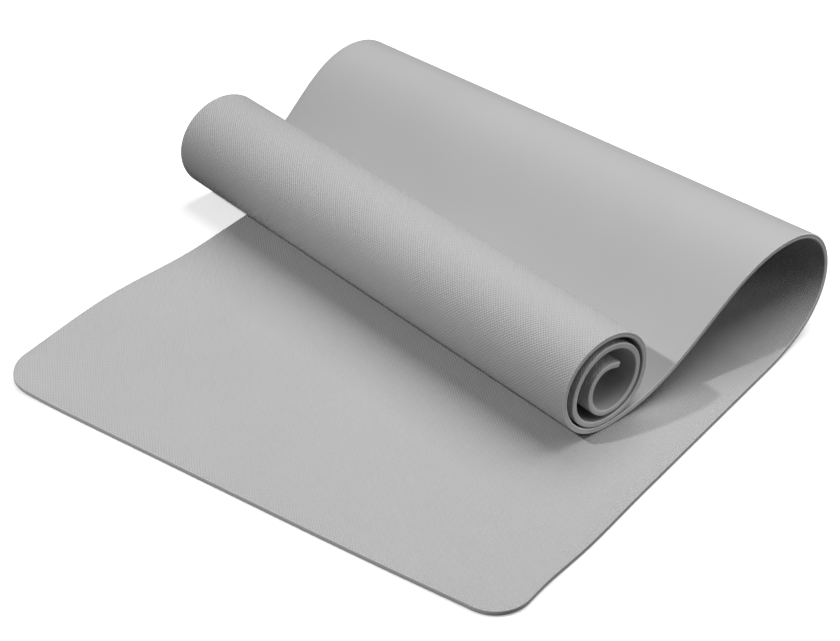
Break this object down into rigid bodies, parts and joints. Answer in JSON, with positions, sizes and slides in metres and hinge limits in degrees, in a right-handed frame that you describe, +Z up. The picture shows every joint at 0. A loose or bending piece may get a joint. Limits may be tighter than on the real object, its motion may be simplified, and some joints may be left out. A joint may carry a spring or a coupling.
{
  "type": "yoga mat",
  "caption": "Rectangular foam exercise mat with rounded corners, partly unrolled: flat front, folded back in a loop, loose roll resting on top.",
  "frame": {"origin": "on the flat underside, midway between the long edges, 250 mm behind the front edge", "axes": "+X across the width towards the near long edge, +Y from the front edge to the back fold, +Z up from the floor"},
  "size_m": [0.6851, 0.6641, 0.116],
  "materials": {
    "top_foam": "matt, finely embossed",
    "bottom_foam": "matt, smooth"
  },
  "bodies": {
    "base": {"top_layer_base": "top_foam", "bottom_layer_base": "bottom_foam", "top_layer_rise": "top_foam", "bottom_layer_rise": "bottom_foam"},
    "front_flap": {"top_layer_front_flap": "top_foam", "bottom_layer_front_flap": "bottom_foam"},
    "loop": {"top_layer_loop": "top_foam", "bottom_layer_loop": "bottom_foam"},
    "slope": {"top_layer_slope": "top_foam", "bottom_layer_slope": "bottom_foam"},
    "roll": {"top_layer_roll": "top_foam", "bottom_layer_roll": "bottom_foam"}
  },
  "joints": [
    {"name": "front_fold", "type": "hinge", "parent": "base", "child": "front_flap", "pos_m": [0, -0.1, 0.006], "axis": [-1, 0, 0], "range_deg": [0, 80]},
    {"name": "rear_fold", "type": "hinge", "parent": "base", "child": "loop", "pos_m": [-0.00354, 0.3755, 0.0676], "axis": [-0.992, 0.1258, 0], "range_deg": [0, 60]},
    {"name": "crest_fold", "type": "hinge", "parent": "loop", "child": "slope", "pos_m": [-0.02009, 0.32246, 0.116], "axis": [-0.992, 0.1258, 0], "range_deg": [0, 80]},
    {"name": "foot_fold", "type": "hinge", "parent": "slope", "child": "roll", "pos_m": [-0.06987, 0.10403, 0.0063], "axis": [0.9733, -0.2294, 0], "range_deg": [0, 24]}
  ],
  "couplings": [
    {"joint": "foot_fold", "follows": "crest_fold", "ratio": 0.3}
  ]
}
